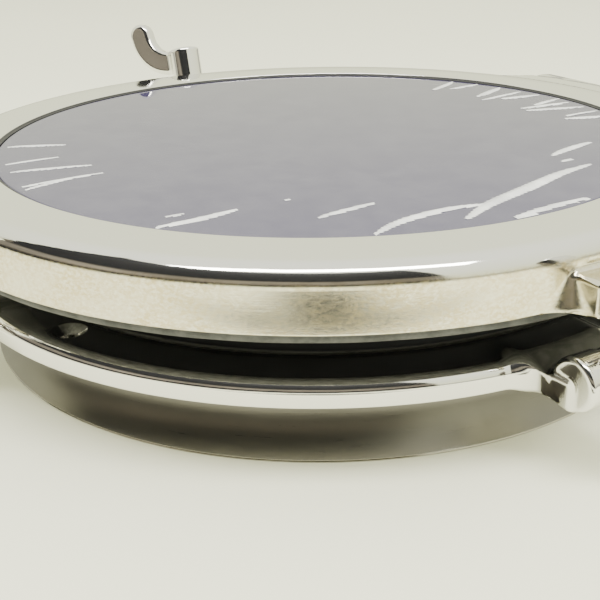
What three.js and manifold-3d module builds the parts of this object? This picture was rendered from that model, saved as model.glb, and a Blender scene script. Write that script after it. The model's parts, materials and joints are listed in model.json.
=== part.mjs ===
// Opening porthole: a flanged frame with a hinged, glazed door held shut by three swing-bolt dogs.
// Millimetres, +Z up. The porthole lies with its trim ring on Z = 0 and the ring axis on the Z axis.
// The hinge is at +Y. A dog stands at each side of it and a third one opposite, all leaning outwards.
import * as THREE from "three";
import { mergeVertices } from "three/addons/utils/BufferGeometryUtils.js";
import Module from "manifold-3d";

const wasm = await Module();
wasm.setup();

// Driving dimensions
const SIGHT_R = 130; // glass seen inside the door ring
const DOOR_R = 155;
const DOOR_TOP = 73;
const DOOR_HEIGHT = 20.5;
const DOOR_EDGE_R = 5; // rounding of the door's top outer edge
const LEDGE_R = 121; // the door's ledge under the glass
const GLASS_T = 8;
const GLASS_RECESS = 1.2;
const GASKET_T = 2.7;
const GASKET_R = 153;
const FLANGE_R = 146;
const FLANGE_BOTTOM = 25; // this face lies on the wall that the porthole is fitted to
const FLANGE_T = 8.5;
const FLANGE_EDGE_R = 3.5;
const BORE_R = 117; // clear opening of the frame
const SPIGOT_R = 124.2;
const SPIGOT_BOTTOM = 3;
const COAMING_R = 125; // raised seat that the door gasket closes on
const TRIM_R = 135.1;
const TRIM_T = 1.6;
const TRIM_COVE_R = 24.9;
const TRIM_COVE_TOP = 20;
const TRIM_RIM_H = 1;
const TRIM_SLEEVE_R = 126.2;
const REBATE_DEPTH = 0.8; // the trim ring's sleeve ends in this rebate under the flange
const SCREW_CIRCLE_R = 134.6;
const SCREW_COUNT = 4;
const FIRST_SCREW_DEG = 21.7;
const SCREW_HOLE_R = 3.2;
const SCREW_HEAD_R = 6;
const HINGE_Y = 175.5;
const HINGE_Z = 50;
const HINGE_R = 8.5;
const HINGE_PIN_R = 4;
const HINGE_HALF = 48; // half the width of the door's hinge tab
const EAR_IN = 13.6;
const EAR_OUT = 30;
const KNUCKLE_IN = 31.6;
const DOG_PIVOT_R = 164;
const DOG_LEAN_DEG = 20;
const DOG_BOSS_R = 8.5;
const DOG_EAR_T = 11;
const DOG_PIN_R = 3;
const BOLT_R = 4;
const EYE_R = 7.5;
const EYE_T = 9;
const FORK_END_R = 166.5;
const FORK_HALF = 10;
const FORK_BOTTOM = 53;
const FORK_TOP = 64;
const HUB_R = 8;
const HUB_H = 17;
const LEVER_DROP = 4.2; // the lever's root lies this far under the hub's top
const GAP = 0.3; // clearance between touching pieces
const RING_SIDES = 60;
const ROUND_SIDES = 16;

// Each dog: its name, its place round the ring, and which way its lever points from straight outwards.
const DOGS = [
  { name: "left", azimuth: 174.1, lever: 40 },
  { name: "right", azimuth: 1, lever: 40 },
  { name: "front", azimuth: 270, lever: 105 },
];

const DOOR_BOTTOM = DOOR_TOP - DOOR_HEIGHT;
const FLANGE_TOP = FLANGE_BOTTOM + FLANGE_T;
const GLASS_TOP = DOOR_TOP - GLASS_RECESS;
const GLASS_BOTTOM = GLASS_TOP - GLASS_T;
const GASKET_TOP = DOOR_BOTTOM - GAP;
const GASKET_BOTTOM = GASKET_TOP - GASKET_T;
const COAMING_TOP = GASKET_BOTTOM - GAP;
const DOG_PIVOT_Z = FLANGE_BOTTOM + DOG_BOSS_R;
const CLEVIS_HALF = EYE_T / 2 + GAP + DOG_EAR_T;
const NUT_LIFT = 1.5; // the washers stand this far above the closed door's forks
const WASHER_T = 1.2;
const WASHER_BOTTOM = FORK_TOP - DOG_PIVOT_Z + NUT_LIFT; // along the bolt from its pivot
const HUB_BOTTOM = WASHER_BOTTOM + WASHER_T + GAP;
const HUB_TOP = HUB_BOTTOM + HUB_H;
const BOLT_TOP = HUB_TOP - 1;

const point = (x, y) => new THREE.Vector2(x, y);
const radians = THREE.MathUtils.degToRad;

// Points on an arc, both ends included. Angles are in degrees.
function arc(cx, cy, r, from, to, steps) {
  return Array.from({ length: steps + 1 }, (_, i) => {
    const a = radians(from + ((to - from) * i) / steps);
    return point(cx + r * Math.cos(a), cy + r * Math.sin(a));
  });
}

// A closed geometry as a solid that can be joined and cut.
function solid(geometry) {
  geometry.deleteAttribute("normal");
  geometry.deleteAttribute("uv");
  const merged = mergeVertices(geometry, 1e-4);
  return new wasm.Manifold(
    new wasm.Mesh({
      numProp: 3,
      vertProperties: merged.attributes.position.array,
      triVerts: new Uint32Array(merged.index.array),
    }),
  );
}

// A solid as a geometry.
function geometryOf(made) {
  const mesh = made.getMesh();
  const geometry = new THREE.BufferGeometry();
  geometry.setAttribute("position", new THREE.BufferAttribute(mesh.vertProperties, 3));
  geometry.setIndex(new THREE.BufferAttribute(mesh.triVerts, 1));
  geometry.computeVertexNormals();
  return geometry;
}

// A ring or disc turned round Z from a closed outline of radius and height.
function turned(outline, sides = RING_SIDES) {
  const points = THREE.ShapeUtils.area(outline) > 0 ? [...outline] : [...outline].reverse();
  points.push(points[0].clone());
  return solid(new THREE.LatheGeometry(points, sides).rotateX(Math.PI / 2));
}

function cylinder(r, bottom, top, sides = ROUND_SIDES) {
  const geometry = new THREE.CylinderGeometry(r, r, top - bottom, sides).rotateX(Math.PI / 2);
  return solid(geometry.translate(0, 0, (top + bottom) / 2));
}

// A round bar along X.
function barX(r, left, right, y, z) {
  const geometry = new THREE.CylinderGeometry(r, r, right - left, ROUND_SIDES).rotateZ(Math.PI / 2);
  return solid(geometry.translate((left + right) / 2, y, z));
}

// A round bar along Y.
function barY(r, half, x, z) {
  return solid(new THREE.CylinderGeometry(r, r, 2 * half, ROUND_SIDES).translate(x, 0, z));
}

function block(x0, x1, y0, y1, z0, z1) {
  const geometry = new THREE.BoxGeometry(x1 - x0, y1 - y0, z1 - z0);
  return solid(geometry.translate((x0 + x1) / 2, (y0 + y1) / 2, (z0 + z1) / 2));
}

// A flat outline in X and Y, from one height to another.
function plate(outline, bottom, top) {
  const settings = { depth: top - bottom, bevelEnabled: false };
  const geometry = new THREE.ExtrudeGeometry(new THREE.Shape(outline), settings);
  return solid(geometry.translate(0, 0, bottom));
}

// An outline in Y and Z, from one X to another.
function cheek(outline, left, right) {
  const settings = { depth: right - left, bevelEnabled: false };
  const geometry = new THREE.ExtrudeGeometry(new THREE.Shape(outline), settings);
  const axes = [new THREE.Vector3(0, 1, 0), new THREE.Vector3(0, 0, 1), new THREE.Vector3(1, 0, 0)];
  geometry.applyMatrix4(new THREE.Matrix4().makeBasis(...axes));
  return solid(geometry.translate(left, 0, 0));
}

const turnZ = (made, degrees) => made.rotate([0, 0, degrees]);
const mirrorX = (made) => made.mirror([1, 0, 0]);
const joined = (solids) => solids.reduce((all, one) => all.add(one));

// Outline of a lug that grows out of a ring along +X through a fillet at each side.
function lugOutline(ringR, half, end, filletR, cornerR) {
  const centreY = half + filletR;
  const centreX = Math.sqrt((ringR + filletR) ** 2 - centreY ** 2);
  const meet = THREE.MathUtils.radToDeg(Math.atan2(centreY, centreX));
  const side = [
    point(ringR - 2 * filletR, centreY),
    ...arc(centreX, centreY, filletR, 180 + meet, 270, 4),
    ...arc(end - cornerR, half - cornerR, cornerR, 90, 0, 2),
  ];
  const otherSide = side.map((p) => point(p.x, -p.y)).reverse();
  return [...side, ...otherSide].reverse();
}

function countersunkHole(degrees) {
  const sink = SCREW_HEAD_R - SCREW_HOLE_R;
  const hole = turned(
    [
      point(0, FLANGE_BOTTOM - 1),
      point(SCREW_HOLE_R, FLANGE_BOTTOM - 1),
      point(SCREW_HOLE_R, FLANGE_TOP - sink),
      point(SCREW_HEAD_R, FLANGE_TOP),
      point(SCREW_HEAD_R, FLANGE_TOP + 1),
      point(0, FLANGE_TOP + 1),
    ],
    ROUND_SIDES,
  );
  return turnZ(hole.translate([SCREW_CIRCLE_R, 0, 0]), degrees);
}

// Two ears with a tangential bore, which hold a dog's eye bolt.
function clevis(azimuth) {
  const outline = lugOutline(FLANGE_R, CLEVIS_HALF, DOG_PIVOT_R, 5, 1);
  const foot = plate(outline, FLANGE_BOTTOM, FLANGE_TOP);
  const boss = barY(DOG_BOSS_R, CLEVIS_HALF, DOG_PIVOT_R, DOG_PIVOT_Z);
  return turnZ(foot.add(boss), azimuth);
}

function clevisCut(azimuth) {
  const half = EYE_T / 2 + GAP;
  const end = DOG_PIVOT_R + 2 * DOG_BOSS_R;
  const heel = DOG_PIVOT_R - EYE_R - 1;
  const slot = block(heel, end, -half, half, FLANGE_BOTTOM - 1, DOG_PIVOT_Z + 2 * DOG_BOSS_R);
  const bore = barY(DOG_PIN_R + GAP, CLEVIS_HALF + 1, DOG_PIVOT_R, DOG_PIVOT_Z);
  return turnZ(slot.add(bore), azimuth);
}

// One ear of the frame's half of the hinge, at +X.
function hingeEar() {
  const root = FLANGE_R - 8;
  const outline = [
    point(root, FLANGE_BOTTOM),
    point(HINGE_Y + HINGE_R - 2, FLANGE_BOTTOM),
    ...arc(HINGE_Y, HINGE_Z, HINGE_R, 0, 180, 8),
    ...arc(HINGE_Y - HINGE_R - 12, HINGE_Z - 4.5, 12, 0, -90, 4),
    point(root, FLANGE_TOP),
  ];
  return cheek(outline, EAR_IN, EAR_OUT);
}

function frameBody() {
  const ring = turned([
    point(BORE_R, SPIGOT_BOTTOM),
    point(SPIGOT_R, SPIGOT_BOTTOM),
    point(SPIGOT_R, FLANGE_BOTTOM + REBATE_DEPTH),
    point(TRIM_SLEEVE_R + 0.6, FLANGE_BOTTOM + REBATE_DEPTH),
    point(TRIM_SLEEVE_R + 0.6, FLANGE_BOTTOM),
    point(FLANGE_R - 0.5, FLANGE_BOTTOM),
    point(FLANGE_R, FLANGE_BOTTOM + 0.5),
    ...arc(FLANGE_R - FLANGE_EDGE_R, FLANGE_TOP - FLANGE_EDGE_R, FLANGE_EDGE_R, 0, 90, 2),
    ...arc(COAMING_R + 2.5, FLANGE_TOP + 2.5, 2.5, 270, 180, 2),
    point(COAMING_R, COAMING_TOP - 1),
    point(COAMING_R - 1, COAMING_TOP),
    point(BORE_R + 2, COAMING_TOP),
    point(BORE_R, COAMING_TOP - 2),
  ]);
  const ear = hingeEar();
  const body = joined([ring, ear, mirrorX(ear), ...DOGS.map((dog) => clevis(dog.azimuth))]);
  const bore = barX(HINGE_PIN_R + GAP, -HINGE_HALF, HINGE_HALF, HINGE_Y, HINGE_Z);
  const cuts = [bore, ...DOGS.map((dog) => clevisCut(dog.azimuth))];
  for (let i = 0; i < SCREW_COUNT; i++) {
    cuts.push(countersunkHole(FIRST_SCREW_DEG + (360 / SCREW_COUNT) * i));
  }
  return body.subtract(joined(cuts));
}

// Thin sleeve round the spigot that flares in a cove to a rolled rim.
function trimRing() {
  const coveX = TRIM_SLEEVE_R + TRIM_COVE_R;
  const sleeveTop = FLANGE_BOTTOM + REBATE_DEPTH - GAP;
  const backR = TRIM_COVE_R + TRIM_T;
  const rimBack = 2.5;
  const dip = (r, z) => THREE.MathUtils.radToDeg(Math.asin((TRIM_COVE_TOP - z) / r));
  return turned([
    point(TRIM_SLEEVE_R, sleeveTop),
    ...arc(coveX, TRIM_COVE_TOP, TRIM_COVE_R, 180, 180 + dip(TRIM_COVE_R, TRIM_RIM_H), 5),
    point(TRIM_R, 0),
    point(TRIM_R - 3.3, 0),
    ...arc(coveX, TRIM_COVE_TOP, backR, 180 + dip(backR, rimBack), 180, 3),
    point(TRIM_SLEEVE_R - TRIM_T, sleeveTop),
  ]);
}

// One prong of the fork that a dog's bolt drops into, welded to the door ring's side. side is 1 or -1.
function forkProng(azimuth, side) {
  const start = DOOR_R + GAP;
  const inner = BOLT_R + 0.75;
  const root = FORK_HALF + 3;
  const outline = [
    point(start, inner),
    point(FORK_END_R - 1, inner),
    point(FORK_END_R, inner + 1),
    ...arc(FORK_END_R - 2, FORK_HALF - 2, 2, 0, 90, 2),
    ...arc(start + 3.5, root, 3, 270, 200, 3),
    point(start, root),
  ];
  const ring = cylinder(start, FORK_BOTTOM - 1, DOOR_TOP + 1, 2 * RING_SIDES);
  const prong = plate(outline, FORK_BOTTOM, FORK_TOP).subtract(ring);
  return turnZ(side > 0 ? prong : prong.mirror([0, 1, 0]), azimuth);
}

// One knuckle of the door's half of the hinge, at +X.
function hingeKnuckle(tabBottom, tabTop, tabEnd) {
  const outline = [
    point(tabEnd - 14, tabBottom),
    point(HINGE_Y - HINGE_R, HINGE_Z + 4),
    ...arc(HINGE_Y, HINGE_Z, HINGE_R, 180, 380, 9),
    point(tabEnd, tabTop),
    point(tabEnd - 14, tabTop),
  ];
  return cheek(outline, KNUCKLE_IN, HINGE_HALF);
}

function doorFrame() {
  const ring = turned([
    point(LEDGE_R, DOOR_BOTTOM),
    point(DOOR_R, DOOR_BOTTOM),
    ...arc(DOOR_R - DOOR_EDGE_R, DOOR_TOP - DOOR_EDGE_R, DOOR_EDGE_R, 0, 90, 3),
    point(SIGHT_R + 0.4, DOOR_TOP),
    point(SIGHT_R, DOOR_TOP - 0.4),
    point(SIGHT_R, GLASS_BOTTOM - 1.4),
    point(LEDGE_R, GLASS_BOTTOM - 1.4),
  ]);
  const tabBottom = HINGE_Z + 10;
  const tabTop = DOOR_TOP - 1;
  const tabEnd = HINGE_Y - 10;
  const tab = plate(lugOutline(DOOR_R, HINGE_HALF, tabEnd, 12, 3), tabBottom, tabTop);
  const knuckle = hingeKnuckle(tabBottom, tabTop, tabEnd);
  const body = joined([ring, turnZ(tab, 90), knuckle, mirrorX(knuckle)]);
  const bore = barX(HINGE_PIN_R + GAP, -2 * HINGE_HALF, 2 * HINGE_HALF, HINGE_Y, HINGE_Z);
  const ledgeRelief = cylinder(SIGHT_R, GLASS_BOTTOM - 1.4, DOOR_TOP + 1, RING_SIDES);
  return body.subtract(joined([bore, ledgeRelief]));
}

// L-shaped bead that beds the glass on its ledge and fills the gap round its edge.
function glazingSeal() {
  const outer = SIGHT_R - 0.25;
  const inner = outer - 1.1;
  const bottom = GLASS_BOTTOM - 1.1;
  return turned([
    point(LEDGE_R + 0.5, bottom),
    point(outer, bottom),
    point(outer, GLASS_TOP + 0.4),
    point(inner, GLASS_TOP + 0.4),
    point(inner, GLASS_BOTTOM - GAP),
    point(LEDGE_R + 0.5, GLASS_BOTTOM - GAP),
  ]);
}

function ringPlate(inner, outer, bottom, top, sides) {
  return turned([point(inner, bottom), point(outer, bottom), point(outer, top), point(inner, top)], sides);
}

// Pin through both knuckles and both ears, with a head at +X.
function hingePin() {
  const end = HINGE_HALF + 1.5;
  const headStart = HINGE_HALF + GAP;
  const head = barX(6, headStart, headStart + 2, HINGE_Y, HINGE_Z);
  return barX(HINGE_PIN_R, -end, headStart + 1, HINGE_Y, HINGE_Z).add(head);
}

function hingeWasher(side) {
  const middle = ((EAR_OUT + KNUCKLE_IN) / 2) * side;
  const half = (KNUCKLE_IN - EAR_OUT) / 2 - GAP;
  const disc = barX(HINGE_R - 0.5, middle - half, middle + half, HINGE_Y, HINGE_Z);
  return disc.subtract(barX(HINGE_PIN_R + GAP, middle - 1, middle + 1, HINGE_Y, HINGE_Z));
}

// Eye bolt along +Z, with its eye round the pivot at the origin.
function dogBolt() {
  const shank = cylinder(BOLT_R, EYE_R - 2, BOLT_TOP);
  const eye = barY(EYE_R, EYE_T / 2, 0, 0);
  return shank.add(eye).subtract(barY(DOG_PIN_R + GAP, EYE_T, 0, 0));
}

// Flattened bar swept along a curve in X and Z, with a flat start and a domed end.
function sweptBar(curve, halfWidth, halfThickness, steps, sides) {
  const domeSteps = 3;
  const vertices = [];
  const ring = (centre, along, scale) => {
    for (let i = 0; i < sides; i++) {
      const a = (2 * Math.PI * i) / sides;
      const w = halfWidth * scale * Math.cos(a);
      const t = halfThickness * scale * Math.sin(a);
      vertices.push(centre.x - along.z * w, t, centre.z + along.x * w);
    }
  };
  for (let i = 0; i <= steps; i++) {
    ring(curve.getPointAt(i / steps), curve.getTangentAt(i / steps), 1);
  }
  const end = curve.getPointAt(1);
  const along = curve.getTangentAt(1);
  for (let i = 1; i <= domeSteps; i++) {
    const a = (Math.PI / 2) * (i / (domeSteps + 1));
    ring(end.clone().addScaledVector(along, halfWidth * Math.sin(a)), along, Math.cos(a));
  }
  const rings = steps + 1 + domeSteps;
  const start = curve.getPointAt(0);
  const apex = end.clone().addScaledVector(along, halfWidth);
  vertices.push(...start.toArray(), ...apex.toArray());
  const faces = [];
  for (let i = 0; i < sides; i++) {
    const j = (i + 1) % sides;
    for (let k = 0; k < rings - 1; k++) {
      const near = k * sides;
      const far = near + sides;
      faces.push(near + i, far + j, near + j, near + i, far + i, far + j);
    }
    const last = (rings - 1) * sides;
    faces.push(rings * sides, i, j);
    faces.push(rings * sides + 1, last + j, last + i);
  }
  const geometry = new THREE.BufferGeometry();
  geometry.setAttribute("position", new THREE.Float32BufferAttribute(vertices, 3));
  geometry.setIndex(faces);
  return solid(geometry);
}

// Round nut with one curled finger lever, in the bolt's own frame.
function dogNut(leverDegrees) {
  const bore = BOLT_R + GAP;
  const hub = turned(
    [
      point(bore, HUB_BOTTOM),
      point(HUB_R - 0.5, HUB_BOTTOM),
      point(HUB_R, HUB_BOTTOM + 0.5),
      point(HUB_R - 0.4, HUB_TOP - 2),
      point(HUB_R - 2, HUB_TOP),
      point(bore, HUB_TOP),
    ],
    ROUND_SIDES,
  );
  const rise = [0, 0.5, 2.3, 5.8, 11, 18];
  const reach = [5.2, 10, 16, 21, 24.5, 26];
  const root = HUB_TOP - LEVER_DROP;
  const path = reach.map((x, i) => new THREE.Vector3(x, 0, root + rise[i]));
  const lever = sweptBar(new THREE.CatmullRomCurve3(path), 5.2, 3.6, 8, 10);
  const cast = hub.add(turnZ(lever, leverDegrees));
  return cast.subtract(cylinder(bore, HUB_BOTTOM - 1, HUB_TOP + 1));
}

const FINISH = {
  polished: { color: 0xd8d6cc, roughness: 0.08, metalness: 1 },
  satin: { color: 0x8f8b80, roughness: 0.38, metalness: 1 },
  rubber: { color: 0x565757, roughness: 0.85, metalness: 0 },
  sealant: { color: 0x101011, roughness: 0.6, metalness: 0 },
  glass: { color: 0x8e8f99, roughness: 0.04, metalness: 0, transparent: true, opacity: 0.5 },
  film: { color: 0xe6e6ea, roughness: 0.15, metalness: 0, transparent: true, opacity: 0.2 },
  acetal: { color: 0xe9e7df, roughness: 0.5, metalness: 0 },
};

function part(name, made, finish) {
  const mesh = new THREE.Mesh(geometryOf(made), new THREE.MeshStandardMaterial(FINISH[finish]));
  mesh.name = name;
  return mesh;
}

// One dog: a pin fixed in the clevis, and the bolt, washer and nut that lean on it.
function dogGroup(dog) {
  const station = new THREE.Group();
  station.rotation.z = radians(dog.azimuth);
  const pin = barY(DOG_PIN_R, CLEVIS_HALF + 0.7, DOG_PIVOT_R, DOG_PIVOT_Z);
  station.add(part(`dog_pin_${dog.name}`, pin, "polished"));
  const leaning = new THREE.Group();
  leaning.position.set(DOG_PIVOT_R, 0, DOG_PIVOT_Z);
  leaning.rotation.y = radians(DOG_LEAN_DEG);
  const washer = ringPlate(BOLT_R + GAP, HUB_R, WASHER_BOTTOM, WASHER_BOTTOM + WASHER_T, ROUND_SIDES);
  leaning.add(part(`dog_bolt_${dog.name}`, dogBolt(), "polished"));
  leaning.add(part(`dog_washer_${dog.name}`, washer, "polished"));
  leaning.add(part(`dog_nut_${dog.name}`, dogNut(dog.lever), "polished"));
  station.add(leaning);
  return station;
}

const group = new THREE.Group();
group.add(part("frame_body", frameBody(), "polished"));
group.add(part("trim_ring", trimRing(), "satin"));
group.add(part("door_frame", doorFrame(), "polished"));
group.add(part("door_gasket", ringPlate(LEDGE_R + 0.5, GASKET_R, GASKET_BOTTOM, GASKET_TOP), "rubber"));
group.add(part("glazing_seal", glazingSeal(), "sealant"));
group.add(part("glass_pane", cylinder(SIGHT_R - 1.6, GLASS_BOTTOM, GLASS_TOP, RING_SIDES), "glass"));
group.add(part("protective_film", cylinder(SIGHT_R - 3, GLASS_TOP + 0.2, GLASS_TOP + 0.5, RING_SIDES), "film"));
group.add(part("hinge_pin", hingePin(), "polished"));
group.add(part("hinge_washer_left", hingeWasher(-1), "acetal"));
group.add(part("hinge_washer_right", hingeWasher(1), "acetal"));
for (const dog of DOGS) {
  group.add(part(`fork_prong_${dog.name}_a`, forkProng(dog.azimuth, 1), "polished"));
  group.add(part(`fork_prong_${dog.name}_b`, forkProng(dog.azimuth, -1), "polished"));
  group.add(dogGroup(dog));
}

export default group;
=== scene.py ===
"""Opening porthole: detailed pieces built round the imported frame, in metres, lit as a plain studio still.

Shapes are worked out in millimetres and scaled when a mesh is made. The ring axis is the Z axis.
"""
import json
import math

import bpy
import numpy as np
from mathutils import Matrix, Vector


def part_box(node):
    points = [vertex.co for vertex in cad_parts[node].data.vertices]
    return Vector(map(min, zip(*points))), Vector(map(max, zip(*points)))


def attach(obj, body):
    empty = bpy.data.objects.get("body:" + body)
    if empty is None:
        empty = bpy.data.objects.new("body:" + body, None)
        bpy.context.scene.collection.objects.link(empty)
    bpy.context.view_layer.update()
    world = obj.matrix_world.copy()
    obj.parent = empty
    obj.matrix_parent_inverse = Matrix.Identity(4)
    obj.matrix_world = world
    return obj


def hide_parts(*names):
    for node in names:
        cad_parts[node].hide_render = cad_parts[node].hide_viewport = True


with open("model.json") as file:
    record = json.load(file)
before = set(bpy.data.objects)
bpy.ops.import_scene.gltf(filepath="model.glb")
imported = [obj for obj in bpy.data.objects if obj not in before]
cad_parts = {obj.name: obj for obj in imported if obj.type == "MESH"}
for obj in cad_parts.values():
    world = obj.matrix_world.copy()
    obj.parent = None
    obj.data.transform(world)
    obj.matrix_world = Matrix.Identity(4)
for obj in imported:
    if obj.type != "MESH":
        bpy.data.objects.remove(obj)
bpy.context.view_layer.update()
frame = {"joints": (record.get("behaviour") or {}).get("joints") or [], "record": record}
MM = 0.001


def top_of(node):
    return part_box(node)[1].z / MM


def bottom_of(node):
    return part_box(node)[0].z / MM


def radius_of(node):
    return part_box(node)[1].x / MM


DOGS = ("left", "right", "front")
# Clearance between parts that move or lie on each other, in millimetres like all the sizes below.
GAP = 0.3

# Sizes that the frame gives.
JOINTS = {joint["name"]: joint for joint in frame["joints"]}
MOUNTS = {mount["name"]: mount for mount in frame["record"]["mounts"]}
DOOR_BOTTOM = top_of("door_gasket") + GAP
GLASS_TOP = top_of("glass_pane")
GLASS_BOTTOM = bottom_of("glass_pane")
GLASS_R = radius_of("glass_pane")
FILM_R = radius_of("protective_film")
SIGHT_R = radius_of("glazing_seal") + 0.25
GASKET_R = radius_of("door_gasket")
GASKET_BOTTOM = bottom_of("door_gasket")
COAMING_TOP = GASKET_BOTTOM - GAP
FLANGE_BOTTOM = MOUNTS["wall_face"]["pos_m"][2] / MM
HINGE_Y, HINGE_Z = (v / MM for v in JOINTS["door_hinge"]["pos_m"][1:])
TRIM_R = radius_of("trim_ring")

# Driving sizes of the castings.
DOOR_TOP = 73.0
DOOR_R = 155.0
DOOR_EDGE_R = 7.0
LEDGE_R = 121.0
FLANGE_R = 146.0
FLANGE_EDGE_R = 4.2
FLANGE_TOP = FLANGE_BOTTOM + 8.5
BORE_R = 117.0
SPIGOT_R = 124.2
SPIGOT_BOTTOM = 3.0
TRIM_SLEEVE_R = 126.2
REBATE_R = 126.8
REBATE_TOP = FLANGE_BOTTOM + 0.8
COAMING_R = 125.0
SCREW_CIRCLE_R = 134.6
SCREW_DEGREES = (21.7, 111.7, 201.7, 291.7)
FORK_END_R = 166.5
FORK_HALF = 10.0
FORK_BOTTOM, FORK_TOP = 53.0, 64.0
TAB_HALF = 48.0
TAB_END_Y = 165.5
TAB_BOTTOM, TAB_TOP = 60.0, 72.0
# The tab's top lies this far under the door's flat top.
TAB_STEP = 0.25
# Fillet between a fork and the door's wall, at the fork's bottom and top.
FORK_FILLETS = (12, 2.2)
# Room round a bolt in its fork.
BOLT_ROOM = 0.75
KNUCKLE_ARM_R = 6.2
FLANGE_UNDER_EDGE_R = 0.6
DOOR_UNDER_EDGE_R = 0.8
# How far a clevis or fork reaches into its ring, and how deep into a ring any lug's mesh goes.
FOOT_OVERLAP = 20
RIM_DEPTH = 14
# Along the hinge from its middle: the knuckles' inner sides and both sides of the ears.
KNUCKLE_IN = 31.6
EAR_IN, EAR_OUT = 13.6, 30.0
HINGE_R = 8.5
HINGE_PIN_R = 4.0
BOSS_R = 8.5
# Half the width of a bolt's eye, and the thickness of a clevis's ear.
EYE_HALF = 4.5
EAR_T = 11.0
BOLT_R = 4.0
EYE_R = 7.5
DOG_PIN_R = 3.0
THREAD_PITCH = 1.25
HUB_R = 8.0
# Along a dog's bolt from its pivot.
WASHER_BOTTOM, WASHER_TOP = 32.0, 33.2
HUB_BOTTOM, HUB_TOP = 33.5, 50.5
BOLT_TOP = 49.5
# How far under the hub's top its lever starts, and how far each lever is turned from outwards.
LEVER_DROP = 4.2
LEVER_DEGREES = {"left": 40, "right": 40, "front": 105}

# The dogs: where each stands round the ring, their lean from upright, and their pivot.
AZIMUTHS = {"left": 174.1, "right": 1.0, "front": 270.0}
LEAN = 20.0
PIVOT_R = 164.0
PIVOT_Z = FLANGE_BOTTOM + BOSS_R

# Mesh fineness: sides of a turned ring, steps of a rounded corner, and the cell sizes of the cast shapes.
SIDES = 480
SMALL_SIDES = 64
CURVE_STEPS = 12
FINE = 0.45
COARSE = 0.7
EYE_CELL = 0.3
FILM_CELL = 0.7
# A boss's copy of the ring lies this far inside it, so that the two surfaces never coincide.
INSET = 0.02
# Edges sharper than this, in degrees, stay crisp on the castings.
CASTING_CREASE = 32
# Space that each cast shape is meshed in, in its own frame: low and high corner.
CLEVIS_SPACE = ((128, -30, 22), (176, 30, 45))
FORK_SPACE = ((136, -26, 50), (170, 26, 75))
EARS_SPACE = ((-38, 128, 22), (38, 187, 62))
TAB_SPACE = ((-80, 118, 38), (80, 187, 75))
EYE_SPACE = ((-9, -6, -9), (9, 6, 15))
NUT_SPACE = ((-9.5, -9.5, HUB_BOTTOM - 1), (34, 9.5, HUB_TOP + 20))

# Each long ridge of the film: (azimuth, radius) of both ends, width, height, bow and waviness.
RIDGES = [
    ((-54, 127), (-45, 101), 3.4, 0.5, -1.2, 0.3),
    ((-31, 109), (-19, 95), 2.5, 0.4, 0.6, 0.3),
    ((-23, 126), (-1, 110), 3.6, 0.55, 5, 0.3),
    ((-9, 121), (33, 110), 4.8, 0.6, 3.5, 1.5),
    ((-3, 126.5), (14, 126), 3.0, 0.45, 1.2, 0.2),
    ((36, 94), (50, 107), 3.2, 0.5, 1, 0.2),
    ((-55, 116), (-53, 111), 1.5, 0.3, 0, 0),
    ((32, 99), (35, 102), 1.7, 0.3, 0, 0),
    ((-44, 99), (-43, 97), 1.0, 0.2, 0, 0),
    ((-38, 91), (-36.5, 89), 1.0, 0.2, 0, 0),
]
# Fans of short ridges that run in from the rim: azimuths, outer and inner radius, width.
FANS = [
    ((-114, -101, -96, -86, -84), 126, 98, 1.9),
    ((72, 77, 81, 86, 90, 95, 100, 106, 112, 118), 126.5, 102, 3.0),
]
# Height, bow and waviness of every ridge in a fan.
FAN_RISE, FAN_BOW, FAN_WAVE = 0.35, 0.6, 0.3
# Film raised by more than this is drawn as lifted.
LIFTED = 0.12

# Camera, from the ring axis: direction it stands in, distance, height, and how it is turned.
CAMERA_AZIMUTH = -30.2
CAMERA_DISTANCE = 0.416
CAMERA_HEIGHT = 0.1725
CAMERA_LENS = 62.4
CAMERA_PITCH = 22.61
CAMERA_YAW = -1.31
CAMERA_ROLL = 1.13


def turn(axis, degrees):
    return Matrix.Rotation(math.radians(degrees), 4, axis)


def new_object(name, data):
    """A new object for some data, linked into the scene."""
    made = bpy.data.objects.new(name, data)
    bpy.context.scene.collection.objects.link(made)
    return made


def make_camera():
    data = bpy.data.cameras.new("camera")
    data.lens = CAMERA_LENS
    data.clip_start = 0.01
    camera = new_object("camera", data)
    a = math.radians(CAMERA_AZIMUTH)
    place = Vector((math.cos(a), math.sin(a), 0)) * CAMERA_DISTANCE + Vector((0, 0, CAMERA_HEIGHT))
    heading = turn("Z", CAMERA_AZIMUTH + 90 - CAMERA_YAW)
    aim = heading @ turn("X", 90 - CAMERA_PITCH) @ turn("Z", -CAMERA_ROLL)
    camera.matrix_world = Matrix.Translation(place) @ aim
    bpy.context.scene.camera = camera


make_camera()

# ---- node helpers


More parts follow.
